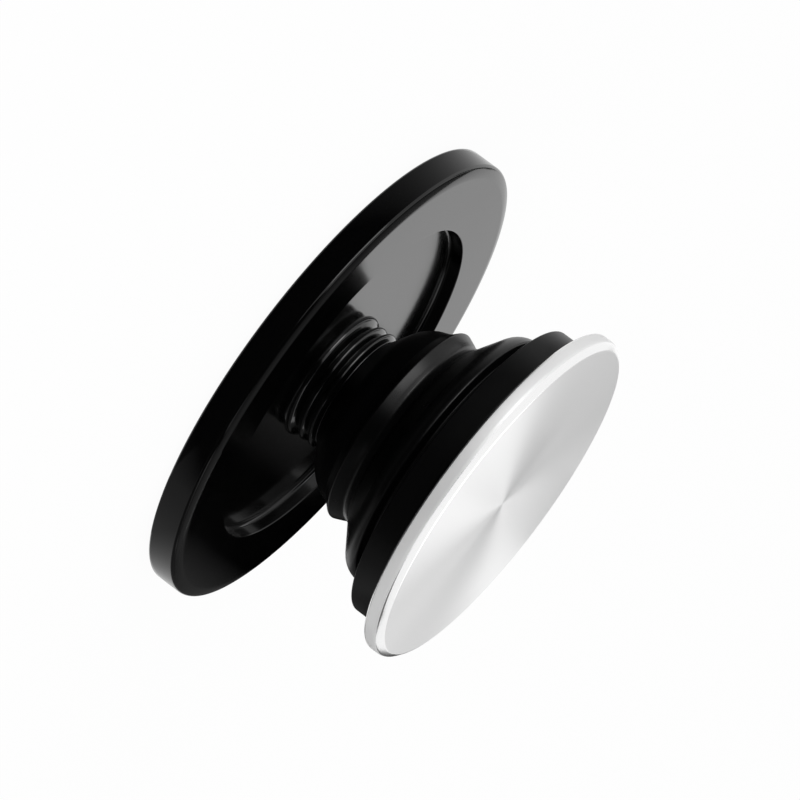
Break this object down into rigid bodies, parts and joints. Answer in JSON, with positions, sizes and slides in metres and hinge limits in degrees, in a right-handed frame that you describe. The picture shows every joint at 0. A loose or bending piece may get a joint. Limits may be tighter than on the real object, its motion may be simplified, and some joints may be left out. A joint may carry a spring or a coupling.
{
  "type": "collapsible phone grip",
  "caption": "Collapsible phone grip: a round black base with an adhesive underside, a folding ribbed bellows neck and a turned aluminium cap that pushes down flat.",
  "frame": {"origin": "centre of the adhesive pad's underside, the face that is stuck to a phone", "axes": "+Z along the grip's axis, from the pad towards the metal cap; X and Y lie in the pad's face"},
  "size_m": [0.0548, 0.0548, 0.025],
  "materials": {
    "base_dish": "black, semi-gloss moulded",
    "adhesive_pad": "dark gel, tacky",
    "bellows": "black satin elastomer",
    "top_platform": "black satin moulded",
    "cap_film": "black adhesive film",
    "cap_disc": "concentric turned face, bright chamfer"
  },
  "bodies": {
    "base": {"base_dish": "base_dish", "adhesive_pad": "adhesive_pad", "bellows": "bellows"},
    "cap": {"top_platform": "top_platform", "cap_film": "cap_film", "cap_disc": "cap_disc"}
  },
  "joints": [
    {"name": "collapse", "type": "slide", "parent": "base", "child": "cap", "axis": [0, 0, 1], "range_m": [-0.0165, 0], "deforming": ["bellows"]}
  ]
}
